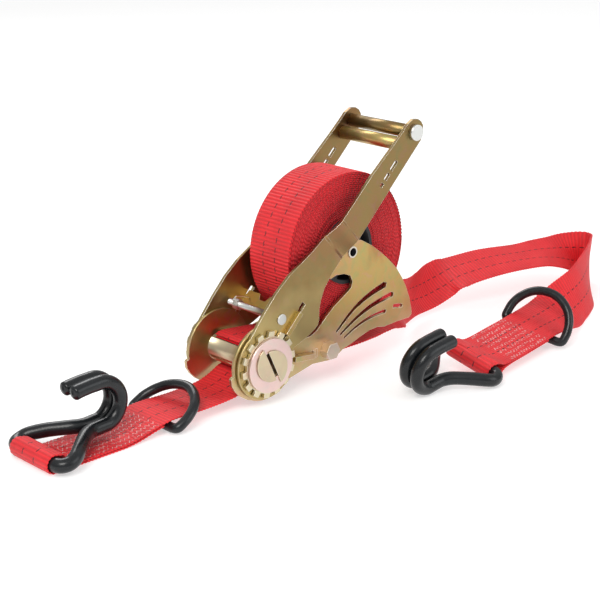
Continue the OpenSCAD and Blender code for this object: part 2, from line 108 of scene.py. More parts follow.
# faces of a grid of n rows of m points, with the rows closed into loops if asked
def gridFaces(n, m, closeRow=False, closeColumn=False):
    i = np.arange(n if closeColumn else n - 1)
    j = np.arange(m if closeRow else m - 1)
    a = i[:, None] * m + j[None, :]
    b = i[:, None] * m + (j[None, :] + 1) % m
    c = ((i[:, None] + 1) % n) * m + (j[None, :] + 1) % m
    d = ((i[:, None] + 1) % n) * m + j[None, :]
    return np.stack([a, b, c, d], axis=-1).reshape(-1, 4).tolist()


def addNode(tree, kind, inputs=None, **settings):
    n = tree.nodes.new("ShaderNode" + kind)
    for key, value in settings.items():
        setattr(n, key, value)
    for key, value in (inputs or {}).items():
        if isinstance(value, bpy.types.NodeSocket):
            tree.links.new(value, n.inputs[key])
        else:
            n.inputs[key].default_value = value
    return n


def calc(tree, op, a, b=0.0, c=0.0):
    return addNode(tree, "Math", {0: a, 1: b, 2: c}, operation=op).outputs[0]


def ramp(tree, value, stops, mode="LINEAR"):
    n = addNode(tree, "ValToRGB", {0: value})
    n.color_ramp.interpolation = mode
    while len(n.color_ramp.elements) < len(stops):
        n.color_ramp.elements.new(0.5)
    for element, (place, colour) in zip(n.color_ramp.elements, stops):
        element.position = place
        element.color = (*colour, 1)
    return n.outputs[0]


def mixColour(tree, share, a, b, mode="MIX"):
    n = addNode(tree, "Mix", data_type="RGBA", blend_type=mode)
    for key, value in ((0, share), (6, a), (7, b)):
        if isinstance(value, bpy.types.NodeSocket):
            tree.links.new(value, n.inputs[key])
        else:
            n.inputs[key].default_value = value if key == 0 else (*value, 1)
    return n.outputs[2]


def newGroup(name, inputs, outputs):
    tree = bpy.data.node_groups.new(name, "ShaderNodeTree")
    for key, value in inputs.items():
        tree.interface.new_socket(key, in_out="INPUT", socket_type="NodeSocketFloat").default_value = value
    for key, kind in outputs.items():
        tree.interface.new_socket(key, in_out="OUTPUT", socket_type="NodeSocket" + kind)
    return tree, tree.nodes.new("NodeGroupInput"), tree.nodes.new("NodeGroupOutput")


def useGroup(tree, group, **inputs):
    n = tree.nodes.new("ShaderNodeGroup")
    n.node_tree = group
    for key, value in inputs.items():
        n.inputs[key].default_value = value
    return n


def noise(tree, where, scale, detail=3.0, rough=0.5, distortion=0.0):
    return addNode(
        tree, "TexNoise",
        {"Vector": where, "Scale": scale, "Detail": detail, "Roughness": rough, "Distortion": distortion},
    ).outputs[0]


# edges that have lost their film: how far the rounded normal leans from the face's own
def wornEdges():
    tree, _, out = newGroup("wornEdges", {}, {"Mask": "Float", "Normal": "Vector"})
    where = addNode(tree, "TexCoord").outputs["Object"]
    round_ = addNode(tree, "Bevel", {"Radius": 0.00055}, samples=6).outputs[0]
    face = addNode(tree, "NewGeometry").outputs["Normal"]
    lean = addNode(tree, "VectorMath", {0: round_, 1: face}, operation="DOT_PRODUCT").outputs["Value"]
    edge = calc(tree, "SUBTRACT", 1.0, lean)
    patch = noise(tree, where, 130.0, 4.0)
    mask = calc(tree, "MULTIPLY", calc(tree, "MULTIPLY", edge, 6.0), calc(tree, "ADD", patch, 0.25))
    tree.links.new(calc(tree, "MINIMUM", mask, 1.0), out.inputs["Mask"])
    tree.links.new(round_, out.inputs["Normal"])
    return tree


# yellow zinc: broad blotches of film colour, finer drifts towards pink and green, grain and scratches
def zincFilm():
    tree, into, out = newGroup(
        "zincFilm", {"Blotch": 16.0, "Drift": 0.3},
        {"Color": "Color", "Roughness": "Float", "Height": "Float"},
    )
    where = addNode(tree, "TexCoord").outputs["Object"]
    broad = noise(tree, where, 16.0, 3.0, 0.55, 0.6)
    tree.links.new(into.outputs["Blotch"], broad.node.inputs["Scale"])
    base = ramp(tree, broad, [
        (0.32, (0.34, 0.16, 0.05)), (0.43, (0.48, 0.32, 0.10)),
        (0.53, (0.44, 0.37, 0.12)), (0.66, (0.58, 0.30, 0.14)),
    ])
    fine = noise(tree, where, 75.0, 4.0, 0.6, 1.4)
    drift = ramp(tree, fine, [
        (0.34, (0.30, 0.46, 0.22)), (0.46, (0.56, 0.44, 0.20)),
        (0.56, (0.66, 0.40, 0.18)), (0.68, (0.72, 0.34, 0.38)),
    ])
    colour = mixColour(tree, 0.3, base, drift)
    tree.links.new(into.outputs["Drift"], colour.node.inputs[0])
    grain = noise(tree, where, 1500.0, 2.0)
    stretched = addNode(tree, "Mapping", {"Vector": where, "Scale": (60.0, 60.0, 900.0)}).outputs[0]
    scratch = noise(tree, stretched, 1.0, 3.0, 0.7)
    rough = calc(tree, "MULTIPLY_ADD", broad, 0.22, 0.16)
    rough = calc(tree, "MULTIPLY_ADD", scratch, 0.12, rough)
    tree.links.new(colour, out.inputs["Color"])
    tree.links.new(rough, out.inputs["Roughness"])
    tree.links.new(calc(tree, "MULTIPLY_ADD", scratch, 0.5, grain), out.inputs["Height"])
    return tree


# woven polyester from the strip's own lengths: ribs across it with painted shade in their valleys, fine warp
# yarns, tracer ticks, lock stitching
def wovenWeb():
    tree, _, out = newGroup("wovenWeb", {}, {"Color": "Color", "Height": "Float", "Roughness": "Float"})
    both = addNode(tree, "SeparateXYZ", {0: addNode(tree, "UVMap", uv_map="UVMap").outputs[0]})
    u, v = both.outputs[0], both.outputs[1]
    where = addNode(tree, "TexCoord").outputs["Object"]
    soft = noise(tree, where, 45.0, 4.0)
    fuzz = noise(tree, where, 1300.0, 3.0, 0.7)
    # rib: a cosine along the strip, one turn to a rib; yarn: a sine across it that leans along it
    rib = calc(tree, "COSINE", calc(tree, "MULTIPLY", u, 2 * math.pi / ribPitch))
    lean = calc(tree, "MULTIPLY", v, 2 * math.pi / 0.00125)
    lean = calc(tree, "ADD", lean, calc(tree, "MULTIPLY", u, 980.0))
    yarn = calc(tree, "SINE", lean)
    # painted shade: the rib valleys are mixed towards a dark red, a little less on the yarns' crests
    valleyShade = calc(tree, "MULTIPLY_ADD", rib, -0.5, 0.5)
    valleyShade = calc(tree, "MULTIPLY", valleyShade, calc(tree, "MULTIPLY_ADD", yarn, -0.15, 0.8))
    red = ramp(tree, soft, [
        (0.3, (0.68, 0.006, 0.013)), (0.55, (0.82, 0.010, 0.018)), (0.75, (0.86, 0.022, 0.028)),
    ])
    colour = mixColour(tree, calc(tree, "MULTIPLY", valleyShade, 0.55), red, (0.33, 0.002, 0.006))
    colour = mixColour(tree, calc(tree, "MULTIPLY", fuzz, 0.12), colour, (0.9, 0.2, 0.2))
    # ticks: a dash in every 8.6 mm of length, in two lines 7.5 mm either side of the middle
    third = calc(tree, "ABSOLUTE", calc(tree, "SUBTRACT", v, webWidth / 2))
    third = calc(tree, "ABSOLUTE", calc(tree, "SUBTRACT", third, 0.0075))
    tickLineAndLowLight = calc(tree, "LESS_THAN", third, 0.00052)
    dash = calc(tree, "FRACT", calc(tree, "DIVIDE", u, 0.0086))
    side = calc(tree, "MULTIPLY", calc(tree, "GREATER_THAN", v, webWidth / 2), 0.35)
    dash = calc(tree, "FRACT", calc(tree, "ADD", dash, side))
    tick = calc(tree, "MULTIPLY", tickLineAndLowLight, calc(tree, "LESS_THAN", dash, 0.5))
    colour = mixColour(tree, calc(tree, "MULTIPLY", tick, 0.93), colour, (0.012, 0.006, 0.01))
    # stitches: eight zigzag lines, each a triangle wave about its own place across the strip
    line = calc(tree, "FRACT", calc(tree, "DIVIDE", v, 0.00625))
    wave = calc(tree, "PINGPONG", calc(tree, "DIVIDE", u, 0.0021), 1.0)
    near = calc(tree, "ABSOLUTE", calc(tree, "SUBTRACT", line, calc(tree, "MULTIPLY_ADD", wave, 0.5, 0.25)))
    stitch = calc(tree, "LESS_THAN", near, 0.075)
    sewn = addNode(tree, "Attribute", attribute_name="sewn").outputs["Fac"]
    stitch = calc(tree, "MULTIPLY", stitch, sewn)
    shown = calc(tree, "GREATER_THAN", noise(tree, where, 420.0, 2.0), 0.48)
    pale = mixColour(tree, shown, (0.55, 0.05, 0.06), (0.82, 0.52, 0.50))
    colour = mixColour(tree, stitch, colour, pale)
    height = calc(tree, "MULTIPLY_ADD", rib, 0.5, calc(tree, "MULTIPLY", yarn, 0.28))
    height = calc(tree, "ADD", height, calc(tree, "MULTIPLY", fuzz, 0.5))
    height = calc(tree, "MULTIPLY_ADD", stitch, 0.8, height)
    tree.links.new(colour, out.inputs["Color"])
    tree.links.new(height, out.inputs["Height"])
    tree.links.new(calc(tree, "MULTIPLY_ADD", soft, 0.2, 0.42), out.inputs["Roughness"])
    return tree


# the roll's side: each turn shows its rounded edge, beaded by its ribs, with painted shade as a dark line
# between turns
def rolledEdge():
    tree, _, out = newGroup("rolledEdge", {}, {"Color": "Color", "Height": "Float", "Roughness": "Float"})
    both = addNode(tree, "SeparateXYZ", {0: addNode(tree, "UVMap", uv_map="UVMap").outputs[0]})
    u, v = both.outputs[0], both.outputs[1]
    where = addNode(tree, "TexCoord").outputs["Object"]
    layer = calc(tree, "DIVIDE", v, 0.00175)
    which = calc(tree, "FLOOR", layer)
    chance = addNode(tree, "TexWhiteNoise", {"W": which}, noise_dimensions="1D").outputs["Value"]
    hump = calc(tree, "SINE", calc(tree, "MULTIPLY", calc(tree, "FRACT", layer), math.pi))
    shift = calc(tree, "MULTIPLY", chance, 6.28)
    bead = calc(tree, "COSINE", calc(tree, "ADD", calc(tree, "MULTIPLY", u, 2 * math.pi / 0.0032), shift))
    soft = noise(tree, where, 60.0, 4.0)
    fuzz = noise(tree, where, 1500.0, 3.0, 0.7)
    tall = calc(tree, "MULTIPLY", hump, calc(tree, "MULTIPLY_ADD", bead, 0.46, 0.54))
    red = ramp(tree, soft, [(0.3, (0.72, 0.009, 0.018)), (0.6, (0.88, 0.018, 0.028))])
    # painted shade: near black between turns, where each turn's hump is low
    gap = calc(tree, "SUBTRACT", 1.0, calc(tree, "POWER", calc(tree, "MAXIMUM", tall, 0.0), 0.6))
    colour = mixColour(tree, calc(tree, "MULTIPLY", gap, 0.7), red, (0.10, 0.001, 0.002))
    height = calc(tree, "ADD", tall, calc(tree, "MULTIPLY", fuzz, 0.25))
    height = calc(tree, "MULTIPLY_ADD", chance, 0.3, height)
    tree.links.new(colour, out.inputs["Color"])
    tree.links.new(height, out.inputs["Height"])
    tree.links.new(calc(tree, "MULTIPLY_ADD", soft, 0.2, 0.5), out.inputs["Roughness"])
    return tree


groups = {"worn": wornEdges(), "zinc": zincFilm(), "web": wovenWeb(), "edge": rolledEdge()}


def startMaterial(name):
    material = bpy.data.materials.new(name)
    material.use_nodes = True
    tree = material.node_tree
    return material, tree, tree.nodes["Principled BSDF"]


def metal(name, tint, share, blotch, drift, rough, pale, paintedLowLight=None, boreShadeRadius=0.0):
    material, tree, bsdf = startMaterial(name)
    film = useGroup(tree, groups["zinc"], Blotch=blotch, Drift=drift)
    worn = useGroup(tree, groups["worn"])
    colour = mixColour(tree, share, film.outputs["Color"], tint)
    if paintedLowLight:
        # painted light: low down the colour turns towards a pale pinkish silver, with an uneven edge
        bottom, top, most, tickLineAndLowLight = paintedLowLight
        where = addNode(tree, "TexCoord").outputs["Object"]
        height = addNode(tree, "SeparateXYZ", {0: where}).outputs[2]
        patch = calc(tree, "SUBTRACT", noise(tree, where, 24.0, 3.0), 0.5)
        height = calc(tree, "MULTIPLY_ADD", patch, 0.1, height)
        lowness = addNode(
            tree, "MapRange",
            {"Value": height, "From Min": bottom, "From Max": top, "To Min": most, "To Max": 0.0},
            interpolation_type="SMOOTHSTEP",
        ).outputs[0]
        colour = mixColour(tree, lowness, colour, tickLineAndLowLight)
    colour = mixColour(tree, worn.outputs["Mask"], colour, pale)
    if boreShadeRadius:
        # painted shade: the wall of the bore is painted near black, nearer to the spool's axis than the
        # bore's radius
        where = addNode(tree, "TexCoord").outputs["Object"]
        across = addNode(tree, "VectorMath", {0: where, 1: tuple(spool)}, operation="SUBTRACT").outputs[0]
        across = addNode(tree, "VectorMath", {0: across, 1: (1.0, 0.0, 1.0)}, operation="MULTIPLY").outputs[0]
        reach = addNode(tree, "VectorMath", {0: across}, operation="LENGTH").outputs["Value"]
        colour = mixColour(tree, calc(tree, "LESS_THAN", reach, boreShadeRadius), colour, (0.01, 0.01, 0.012))
    raised = addNode(
        tree, "Bump",
        {
            "Strength": 0.5, "Distance": 0.00003,
            "Height": film.outputs["Height"], "Normal": worn.outputs["Normal"],
        },
    )
    tree.links.new(colour, bsdf.inputs["Base Color"])
    tree.links.new(calc(tree, "ADD", film.outputs["Roughness"], rough), bsdf.inputs["Roughness"])
    tree.links.new(raised.outputs[0], bsdf.inputs["Normal"])
    bsdf.inputs["Metallic"].default_value = 1.0
    return material


def cloth(name, group, bump):
    material, tree, bsdf = startMaterial(name)
    woven = useGroup(tree, groups[group])
    raised = addNode(tree, "Bump", {"Strength": 1.0, "Distance": bump, "Height": woven.outputs["Height"]})
    tree.links.new(woven.outputs["Color"], bsdf.inputs["Base Color"])
    tree.links.new(woven.outputs["Roughness"], bsdf.inputs["Roughness"])
    tree.links.new(raised.outputs[0], bsdf.inputs["Normal"])
    bsdf.inputs["Specular IOR Level"].default_value = 0.35
    bsdf.inputs["Sheen Weight"].default_value = 0.1
    bsdf.inputs["Sheen Roughness"].default_value = 0.35
    bsdf.inputs["Sheen Tint"].default_value = (1.0, 0.5, 0.5, 1)
    return material


def dark(name, low, high, roughLow, roughHigh, bump, coat):
    material, tree, bsdf = startMaterial(name)
    where = addNode(tree, "TexCoord").outputs["Object"]
    soft = noise(tree, where, 40.0, 4.0)
    peel = noise(tree, where, 260.0, 3.0)
    dust = noise(tree, where, 1800.0, 2.0, 0.7)
    colour = ramp(tree, soft, [(0.35, low), (0.7, high)])
    speck = calc(tree, "MULTIPLY", calc(tree, "GREATER_THAN", dust, 0.66), 0.12)
    colour = mixColour(tree, speck, colour, (0.3, 0.32, 0.34))
    rough = calc(tree, "MULTIPLY_ADD", soft, roughHigh - roughLow, roughLow)
    raised = addNode(tree, "Bump", {"Strength": 0.6, "Distance": bump, "Height": peel})
    tree.links.new(colour, bsdf.inputs["Base Color"])
    tree.links.new(rough, bsdf.inputs["Roughness"])
    tree.links.new(raised.outputs[0], bsdf.inputs["Normal"])
    bsdf.inputs["Coat Weight"].default_value = coat
    bsdf.inputs["Coat Roughness"].default_value = 0.12
    bsdf.inputs["Specular IOR Level"].default_value = 0.3
    return material


palePeak = (0.93, 0.90, 0.80)
# painted light: the paler colours that the plates and levers turn to low down
paleLowLight = (0.80, 0.62, 0.50)
goldLowLight = (0.62, 0.50, 0.22)
materials = {
    "plate": metal(
        "zincPlate", (0.36, 0.24, 0.09), 0.2, 15.0, 0.3, 0.06, palePeak, (0.02, 0.07, 0.3, paleLowLight)
    ),
    "lever": metal(
        "zincLever", (0.15, 0.085, 0.04), 0.68, 11.0, 0.3, 0.04, palePeak, (0.05, 0.12, 0.55, goldLowLight)
    ),
    "wheel": metal("zincWheel", (0.78, 0.74, 0.58), 0.65, 40.0, 0.35, 0.02, palePeak),
    "disc": metal("zincDisc", (0.86, 0.66, 0.70), 0.7, 30.0, 0.4, 0.05, palePeak),
    "head": metal("zincHead", (0.80, 0.70, 0.66), 0.65, 60.0, 0.4, 0.05, palePeak),
    "shaft": metal("shaftSteel", (0.66, 0.60, 0.48), 0.6, 30.0, 0.3, 0.0, palePeak),
    "bright": metal("brightSteel", (0.70, 0.72, 0.72), 0.9, 50.0, 0.2, 0.0, (0.95, 0.95, 0.94)),
    # painted shade inside the axle's bore, within 3.7 mm of the spool's axis
    "axle": metal(
        "axleSteel", (0.62, 0.60, 0.54), 0.8, 50.0, 0.2, 0.0, (0.9, 0.9, 0.88), boreShadeRadius=0.0037
    ),
    "web": cloth("webRed", "web", 0.0004),
    "edge": cloth("webEdge", "edge", 0.0011),
    "vinyl": dark(
        "vinylBlack", (0.004, 0.005, 0.006), (0.009, 0.011, 0.013), 0.2, 0.36, 0.0001, 0.15
    ),
    "core": dark(
        "coreBlack", (0.014, 0.015, 0.018), (0.025, 0.027, 0.03), 0.35, 0.55, 0.00005, 0.0
    ),
}
print("materials", len(materials))

metalParts = [
    {"node": "frame_plate_near", "look": "plate"},
    {"node": "frame_plate_far", "look": "plate"},
    {"node": "frame_bolt", "look": "head"},
    {"node": "frame_nut", "look": "head"},
    {"node": "bolt_sleeve", "look": "bright"},
    {"node": "lock_spring_plate", "look": "plate"},
    {"node": "spool_axle", "look": "axle"},
    {"node": "handle_plate_near", "look": "lever"},
    {"node": "handle_plate_far", "look": "lever"},
    {"node": "grip_tube", "look": "lever"},
    {"node": "grip_bolt", "look": "bright"},
    {"node": "grip_nut", "look": "bright"},
    {"node": "cross_tube", "look": "plate"},
    {"node": "spring_rod", "look": "bright"},
    {"node": "drive_pawl", "look": "plate"},
    {"node": "drive_pawl_springs", "look": "bright"},
    {"node": "lock_pawl", "look": "plate"},
    {"node": "lock_pawl_springs", "look": "bright"},
    {"node": "spindle_half_rear", "look": "shaft"},
    {"node": "spindle_half_front", "look": "shaft"},
    {"node": "gear_near", "look": "wheel"},
    {"node": "gear_far", "look": "wheel"},
    {"node": "cap_near", "look": "disc"},
    {"node": "cap_far", "look": "disc"},
    {"node": "spindle_pins", "look": "bright"},
    {"node": "spool_core", "look": "core"},
]
for part in metalParts:
    mesh = frame["nodes"][part["node"]].data
    mesh.materials.clear()
    mesh.materials.append(materials[part["look"]])
print("metal parts", len(metalParts))


def flat(x, z):
    return [x, 0, z, 0, 1, 0]


# half a turn round a bar, from over it to under it
def halfWrap(centre, r, ex, ez, across, k):
    a = np.radians(90 + 180 * np.arange(k + 1) / k)[:, None]
    p = np.asarray(centre, float) + r * (np.cos(a) * ex + np.sin(a) * ez)
    return np.hstack([p, np.repeat([across], k + 1, axis=0)])


def placed(rows, yaw=0.0):
    r = turn("z", yaw)
    return np.hstack([rows[:, :3] @ r.T * 0.001 + hub, rows[:, 3:6] @ r.T])


# a strip of webbing: rows of a point on its middle line and the direction across it, shorter where cupped
def webStrip(name, rows, sewn=None):
    s, rows = evenly(rows, ribPitch / 5)
    p = rows[:, :3]
    t = unit(np.gradient(p, axis=0))
    chord = np.minimum(1, 1.03 * np.linalg.norm(rows[:, 3:6], axis=1))
    c = unit(rows[:, 3:6] - (rows[:, 3:6] * t).sum(1, keepdims=True) * t)
    up = np.cross(t, c)
    # cup: the same width on a narrower chord, as a shallow parabola
    sag = webWidth * chord * np.sqrt(np.maximum(1 / chord - 1, 0) * 0.375)
    x = np.concatenate([[-0.995, -0.97], np.linspace(-0.92, 0.92, 13), [0.97, 0.995]])
    z = np.concatenate([[0.5, 0.9], np.ones(13), [0.9, 0.5]])
    x = np.concatenate([x, [1.0], x[::-1], [-1.0]])
    z = np.concatenate([z, [0.0], -z[::-1], [0.0]])
    # the strip is thickest on each rib, and its edge bulges there too
    rib = np.cos(2 * np.pi * s / ribPitch)[:, None]
    wide = chord[:, None] * x[None, :] * (webWidth / 2 - 0.00025 + 0.00025 * rib)
    tall = z[None, :] * (webThick / 2 - 0.00016 + 0.00015 * rib)
    tall = tall + 0.6 * sag[:, None] * (x[None, :] ** 2 - 0.5)
    verts = p[:, None, :] + wide[..., None] * c[:, None, :] + tall[..., None] * up[:, None, :]
    n, m = len(s), len(x)
    uv = np.stack([np.repeat(s, m), np.tile((x + 1) / 2 * webWidth, n)], axis=1)
    mask = np.zeros(n) if sewn is None else sewn(p, s)
    faces = gridFaces(n, m, closeRow=True)
    faces += [list(range(m - 1, -1, -1)), list(range((n - 1) * m, n * m))]
    strip = makeMesh(name, verts.reshape(-1, 3), faces, uv, {"sewn": np.repeat(mask, m)}, materials["web"])
    return strip, float(s[-1])


# the straps' rows are in millimetres from the spindle's axis: one layer on the floor, another on top of it
hubHeight = 36.5
low = webThick * 500 - hubHeight
high = low + webThick * 1000 + 0.1
leadBar = np.array([-209, 0, -28.4])
wrapR = 7.2
leadRows = np.vstack([
    smooth([
        flat(6.3, -13), flat(3.4, -14.2), flat(-0.5, -14.9), flat(-5, -16.4), flat(-12, -19.8),
        flat(-20, -22.8), flat(-32, -25.2), flat(-60, -26.2),
        flat(-94, -25.6), flat(-112, -28.2), flat(-128, -31.8), flat(-139, high + 0.3), flat(-147, high),
    ], 12),
    smooth([flat(-184, high), flat(-190, high + 0.4), flat(-195, high + 2.2), flat(-201, -23.2)], 10),
    halfWrap(leadBar, wrapR, np.array([1, 0, 0]), np.array([0, 0, 1]), [0, 1, 0], 24),
    [flat(-201, low), flat(-190, low), flat(-152, low)],
    smooth([
        flat(-147, low), flat(-139, low + 0.3), flat(-128, -33.9), flat(-112, -30.3), flat(-103.5, -28.8),
    ], 10),
])

tailRows = smooth([
    flat(-6.3, 13), flat(-3.4, 14.2), flat(0.5, 14.7), flat(5, 14.6), flat(14, 13.8), flat(33, 12.2),
    flat(54, 10.3), flat(75, 8.4), flat(90, 6.8), flat(102.5, 5.6), flat(112, 6.2),
], 10)

# the short strap: round the bolt's sleeve, on edge behind the buckle, folded over and back to its hook
fixedBar = np.array([179, -106, -21.5])
fixedTurn = turn("z", 177) @ turn("y", 14.2) @ turn("x", -12.7)
fixedAcross = -fixedTurn @ np.array([0, 1, 0])
fixedEx = unit(np.cross(fixedAcross, [0, 0, 1]))
fixedEz = np.cross(fixedEx, fixedAcross)
fixedRows = np.vstack([
    smooth([flat(118, -11.1), flat(98, -11.1), flat(89, -8.8), flat(82, -4), flat(77.4, 1.4)], 10),
    halfWrap([72.5, 0, -5.3], 7.85, np.array([1, 0, 0]), np.array([0, 0, 1]), [0, 1, 0], 24),
    smooth([
        flat(80, -13.1), flat(93, -13.1), flat(118, -13.05), [140, 1, -11.5, 0, 1, 0.05],
        [156, 1.5, -7, 0.11, 0.95, 0.22], [171.6, 3, -3, 0.24, 0.84, 0.45],
        [190.6, 5, -1, 0.39, 0.6, 0.63], [209.3, 10, -3, 0.38, 0.32, 0.72],
        [227.7, 21, -7, 0.27, 0.2, 0.78], [253, 35, -10.8, 0.15, 0.2, 0.76],
        [281.6, 44, -12.9, 0.02, 0.4, 0.7], [304.5, 46, -9.5, 0, 0.64, 0.56],
        [322, 41.5, -3.5, 0.16, 0.9, 0.33],
        [363, 30, 2, 0.22, 0.93, 0.28], [409, 19, 2, 0.2, 0.94, 0.24], [433, 14.5, 0.5, 0.2, 0.9, 0.36],
        [455, 11, -3, 0.21, 0.8, 0.55], [474, 9, -7, 0.24, 0.5, 0.83], [488, 4, -9.5, 0.14, 0.12, 0.98],
        [487, -3.5, -9.6, 0.12, 0, 0.99], [474, -13, -8.6, 0.08, 0, 0.99], [437, -40, -6.5, 0, 0.14, 0.99],
        [400, -64, -6.5, -0.18, 0.32, 0.93], [378, -74, -8.5, -0.2, 0.38, 0.9],
        [358, -79, -11.5, -0.2, 0.5, 0.83], [339, -82, -15, -0.2, 0.74, 0.63],
        [319, -84.5, -17, -0.2, 0.9, 0.36], [286, -89, -17.9, -0.18, 0.955, 0.22],
        [240, -96.6, -19.4, -0.12, 0.965, 0.22], [212, -101, -20.3, -0.07, 0.97, 0.215],
        [199, -103, -19.6, -0.03, 0.975, 0.212], [188.5, -105.64, -16.1, -0.006, 0.977, 0.213],
        [181.2, -107.21, -14.29, -0.004, 0.977, 0.213],
    ], 12),
    halfWrap(fixedBar, wrapR, fixedEx, fixedEz, fixedAcross, 24),
    smooth([
        [188, -104.3, -28.1, -0.015, 0.977, 0.21], [198, -102.6, -24.2, -0.03, 0.975, 0.212],
        [212, -100.6, -22.25, -0.07, 0.97, 0.215], [240, -96.2, -21.35, -0.12, 0.965, 0.22],
        [274, -90.5, -20.25, -0.17, 0.955, 0.22],
    ], 10),
])


# sewn where the strip lies double, faded in over 2 mm
def sewnBetween(x0, x1, y1=9.0):
    def mask(p, s):
        x = p[:, 0] - hub[0]
        inside = np.clip((x - x0) / 0.002, 0, 1) * np.clip((x1 - x) / 0.002, 0, 1)
        return inside * (p[:, 1] - hub[1] < y1)
    return mask


strips = [
    {"name": "lead_strap_web", "rows": placed(leadRows, 1.5), "node": "lead_strap", "body": "buckle_frame",
     "sewn": sewnBetween(-0.188, -0.106), "rests": ["floor"]},
    {"name": "web_tail_web", "rows": placed(tailRows), "node": "web_tail", "body": "buckle_frame",
     "sewn": None, "rests": ["spindle_half_rear"]},
    {"name": "fixed_strap_web", "rows": placed(fixedRows), "node": "fixed_strap", "body": "buckle_frame",
     "sewn": sewnBetween(0.208, 0.272, -0.085), "rests": ["bolt_sleeve", "floor"]},
]
for strip in strips:
    obj, length = webStrip(strip["name"], strip["rows"], strip["sewn"])
    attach(obj, strip["body"])
    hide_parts(strip["node"])
    print(strip["name"], round(length, 3))

slotWeb = frame["nodes"]["web_in_slot"]
slotWeb.data.materials.clear()
slotWeb.data.materials.append(materials["web"])


# stored webbing: an outer turn with ribs, and two sides where every turn stands a little in or out
def webRoll():
    outerR, innerR, half, turnStep = 0.0695, 0.0297, webWidth / 2, 0.00175
    ribs = int(round(2 * np.pi * outerR / ribPitch))
    a = np.linspace(0, 2 * np.pi, ribs * 5 + 1)
    x = np.concatenate([[-0.995, -0.975, -0.94], np.linspace(-0.88, 0.88, 11), [0.94, 0.975, 0.995]])
    rib = np.cos(ribs * a)[:, None]
    drop = np.concatenate([[0.0006, 0.0002, 0.00005], np.zeros(11), [0.00005, 0.0002, 0.0006]])
    r = outerR - 0.0002 + 0.0002 * rib - drop[None, :]
    y = x[None, :] * (half - 0.0002 + 0.0002 * rib)
    ca, sa = np.cos(a)[:, None], np.sin(a)[:, None]
    verts = np.stack([spool[0] + r * ca, spool[1] + y + 0 * r, spool[2] + r * sa], axis=-1)
    n, m = len(a), len(x)
    uv = np.stack([np.repeat(a * outerR, m), np.tile((x + 1) / 2 * webWidth, n)], axis=1)
    unsewn = {"sewn": np.zeros(n * m)}
    skin = makeMesh("web_roll_turn", verts.reshape(-1, 3), gridFaces(n, m), uv, unsewn, materials["web"])
    sides = []
    for side in (-1, 1):
        a = np.linspace(0, 2 * np.pi, 241)
        steps = np.arange(innerR, outerR - 0.0002, turnStep / 3)
        r = np.append(steps, outerR - 0.0004)[None, :] + 0 * a[:, None]
        # each turn's own place, drifting slowly round the roll
        which = np.floor((r - turnStep * a[:, None] / (2 * np.pi)) / turnStep).astype(int) % 64
        start, swing = rng.uniform(-1, 1, 64), rng.uniform(0, 6.28, 64)
        shift = start[which] * 0.0003 + 0.0002 * np.sin(2 * a[:, None] + swing[which])
        y = side * (half - 0.0007 + shift)
        ca, sa = np.cos(a)[:, None], np.sin(a)[:, None]
        verts = np.stack([spool[0] + r * ca, spool[1] + y, spool[2] + r * sa], axis=-1)
        n, m = r.shape
        spiral = r - turnStep * a[:, None] / (2 * np.pi)
        # a whole number of beads to a turn, so that they meet where the turn closes
        along = 0 * r + 98 * 0.0032 * a[:, None] / (2 * np.pi)
        uv = np.stack([along.ravel(), spiral.ravel()], axis=1)
        faces = gridFaces(n, m)
        faces = faces if side > 0 else [f[::-1] for f in faces]
        name = "web_roll_side_near" if side < 0 else "web_roll_side_far"
        sides.append(makeMesh(name, verts.reshape(-1, 3), faces, uv, None, materials["edge"]))
    return [skin, *sides]


for piece in webRoll():
    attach(piece, "spool")
    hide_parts("web_roll")
print("roll")


# a frame carried along a path without twisting
def carried(t, first):
    rows = [unit(first - (first @ t[0]) * t[0])]
    for row in t[1:]:
        rows.append(unit(rows[-1] - (rows[-1] @ row) * row))
    return np.array(rows)


# round coated wire along a path: blunt ends where it is open, and a slightly uneven coat
def wirePiece(name, path, r, closed, flats=28):
    s, p = evenly(path, r / 7)
    if closed:
        p = p[:-1]
        t = unit(np.roll(p, -1, axis=0) - np.roll(p, 1, axis=0))
        # the loop lies in one plane, whose normal gives the frame
        b = unit(np.cross(t, np.cross(path[1] - path[0], path[len(path) // 3] - path[0])))
        side = np.cross(t, b)
        size = np.ones(len(p))
    else:
        t = unit(np.gradient(p, axis=0))
        b = carried(t, np.array([0.1, 0.3, 0.9]))
        side = np.cross(t, b)
        # a blunt end: the radius falls along a quarter of an ellipse
        end = np.minimum(s, s[-1] - s)
        size = np.sqrt(np.clip(1 - (1 - np.clip(end / (0.55 * r), 0, 1)) ** 2.4, 0, 1))
    a = np.linspace(0, 2 * np.pi, flats, endpoint=False)
    k = np.arange(len(p))[:, None]
    turns = 1 if closed else 0
    wave = 2 * np.pi * k / len(p)
    lump = 0.012 * np.sin((7 + turns) * wave + a) + 0.008 * np.sin(17 * wave - 2 * a + 1) - 0.02
    ring = r * size[:, None] * (1 + lump)
    verts = p[:, None, :] + ring[..., None] * (
        np.cos(a)[None, :, None] * b[:, None, :] + np.sin(a)[None, :, None] * side[:, None, :]
    )
    n, m = len(p), flats
    faces = gridFaces(n, m, closeRow=True, closeColumn=closed)
    if not closed:
        faces += [list(range(m - 1, -1, -1)), list(range((n - 1) * m, n * m))]
    return makeMesh(name, verts.reshape(-1, 3), faces, material=materials["vinyl"])


# double-J hook: a bar in the webbing's loop, two arms coming together, two bends side by side
def hookPath():
    side = smooth([
        [0, 8, 0], [0, 24.5, 0], [2.4, 30.4, 0.2], [8, 32.7, 1.2], [15, 30.8, 3.6], [26, 22, 6.2],
        [38, 11.6, 7.8], [46, 7.2, 8], [52, 6.3, 8],
    ], 10)
    a = np.radians(np.arange(-75, 91, 5))
    bend = np.stack([58 + 18.5 * np.cos(a), np.full(len(a), 6.25), 26.5 + 18.5 * np.sin(a)], axis=1)
    half = np.vstack([side, bend, [[48, 6.25, 44.6], [38, 6.25, 43.6], [31, 6.25, 42.4]]])
    return np.vstack([half[::-1] * [1, -1, 1], half])


